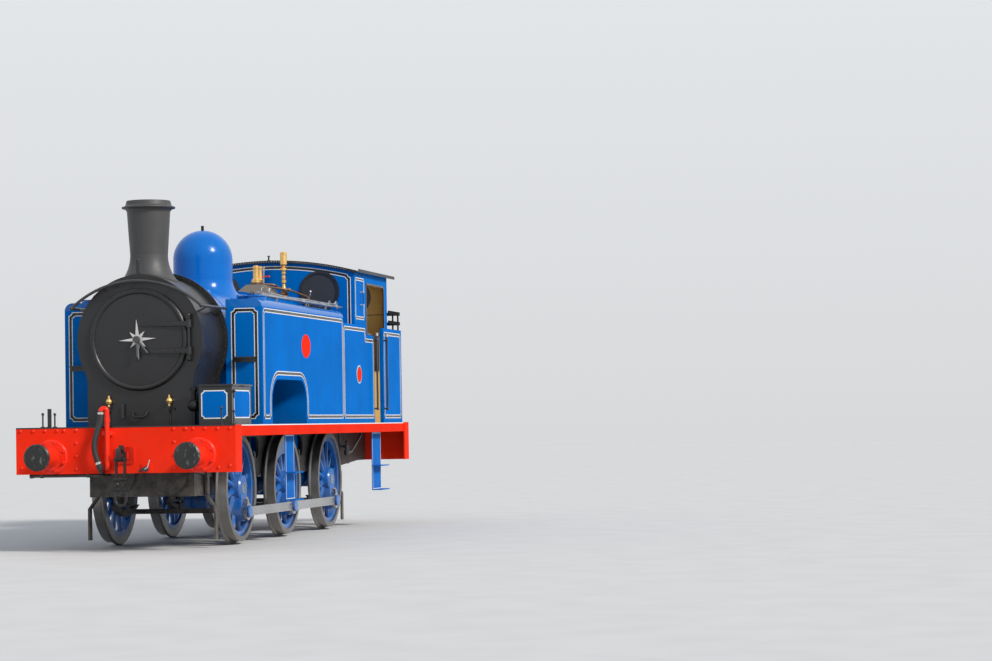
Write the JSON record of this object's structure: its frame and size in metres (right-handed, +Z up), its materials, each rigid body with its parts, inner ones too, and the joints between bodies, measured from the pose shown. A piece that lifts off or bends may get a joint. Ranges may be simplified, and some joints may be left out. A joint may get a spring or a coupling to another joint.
{
  "type": "steam locomotive",
  "caption": "Six-coupled side tank steam locomotive with an opening smokebox door, turning wheels and coupling rods, tank lids and a hollow cab and bunker.",
  "frame": {"origin": "on the ground under the middle of the whole length, at the flange tips", "axes": "+X forward to the smokebox end, +Y to the locomotive's left, +Z up"},
  "size_m": [9.776, 2.58, 4.0278],
  "materials": {
    "blue_paint": "gloss",
    "red_paint": "gloss",
    "black_paint": "satin",
    "roof_black": "matt",
    "smokebox_black": "satin",
    "wheel_paint": "gloss",
    "tyre_steel": "worn",
    "rod_steel": "bright",
    "worn_steel": "worn",
    "dark_steel": "worn",
    "polished_steel": "polished",
    "brass": "polished",
    "window_glass": "clear",
    "hose_rubber": "matt"
  },
  "bodies": {
    "chassis": {"frames": "black_paint", "axleboxes": "black_paint", "front_beam": "red_paint", "rear_beam": "red_paint", "buffer_stocks": "red_paint", "buffer_heads": "worn_steel", "drawgear": "worn_steel", "footplate": "black_paint", "valences": "red_paint", "lamp_irons": "black_paint", "cylinder_block": "black_paint", "footsteps": "blue_paint", "smokebox": "smokebox_black", "chimney": "smokebox_black", "chimney_cap": "smokebox_black", "blast_pipe": "smokebox_black", "dome": "blue_paint", "boiler": "blue_paint", "firebox": "blue_paint", "side_tanks": "blue_paint", "tank_steps": "black_paint", "safety_valve": "brass", "whistle": "brass", "cab_front": "blue_paint", "cab_back": "blue_paint", "cab_sides": "blue_paint", "cab_roof": "roof_black", "window_rims": "black_paint", "window_glass": "window_glass", "bunker": "blue_paint", "footplate_box": "black_paint", "brake_gear": "black_paint", "handrails": "dark_steel", "vacuum_pipes": "red_paint", "hose_plugs": "dark_steel", "front_brake_hose": "hose_rubber", "rear_brake_hose": "hose_rubber", "lubricators": "brass", "fire_irons": "dark_steel"},
    "leading_wheelset": {"leading_wheels": "wheel_paint", "leading_tyres": "tyre_steel"},
    "driving_wheelset": {"driving_wheels": "wheel_paint", "driving_tyres": "tyre_steel"},
    "trailing_wheelset": {"trailing_wheels": "wheel_paint", "trailing_tyres": "tyre_steel"},
    "left_rod": {"left_coupling_rod": "rod_steel"},
    "right_rod": {"right_coupling_rod": "rod_steel"},
    "door": {"smokebox_door": "smokebox_black", "door_star": "polished_steel"},
    "left_lid": {"left_tank_lid": "blue_paint"},
    "right_lid": {"right_tank_lid": "blue_paint"},
    "box_cover": {"box_lid": "black_paint"}
  },
  "joints": [
    {"name": "leading_axle", "type": "hinge", "parent": "chassis", "child": "leading_wheelset", "pos_m": [2.575, 0, 0.666], "axis": [0, 1, 0], "continuous": true},
    {"name": "driving_axle", "type": "hinge", "parent": "chassis", "child": "driving_wheelset", "pos_m": [0.505, 0, 0.666], "axis": [0, 1, 0], "continuous": true},
    {"name": "trailing_axle", "type": "hinge", "parent": "chassis", "child": "trailing_wheelset", "pos_m": [-1.649, 0, 0.666], "axis": [0, 1, 0], "continuous": true},
    {"name": "left_rod_pin", "type": "hinge", "parent": "driving_wheelset", "child": "left_rod", "pos_m": [0.505, 0.8775, 0.386], "axis": [0, 1, 0], "continuous": true},
    {"name": "right_rod_pin", "type": "hinge", "parent": "driving_wheelset", "child": "right_rod", "pos_m": [0.785, -0.8775, 0.666], "axis": [0, 1, 0], "continuous": true},
    {"name": "smokebox_door_hinge", "type": "hinge", "parent": "chassis", "child": "door", "pos_m": [3.883, 0.6, 2.423], "axis": [0, 0, 1], "range_deg": [0, 120]},
    {"name": "left_lid_hinge", "type": "hinge", "parent": "chassis", "child": "left_lid", "pos_m": [2.55, 0.812, 2.938], "axis": [1, 0, 0], "range_deg": [0, 110]},
    {"name": "right_lid_hinge", "type": "hinge", "parent": "chassis", "child": "right_lid", "pos_m": [2.55, -0.812, 2.938], "axis": [-1, 0, 0], "range_deg": [0, 110]},
    {"name": "box_lid_hinge", "type": "hinge", "parent": "chassis", "child": "box_cover", "pos_m": [3.655, 0.748, 1.853], "axis": [1, 0, 0], "range_deg": [0, 85]}
  ],
  "couplings": [
    {"joint": "leading_axle", "follows": "driving_axle", "ratio": 1},
    {"joint": "trailing_axle", "follows": "driving_axle", "ratio": 1},
    {"joint": "left_rod_pin", "follows": "driving_axle", "ratio": -1},
    {"joint": "right_rod_pin", "follows": "driving_axle", "ratio": -1}
  ]
}
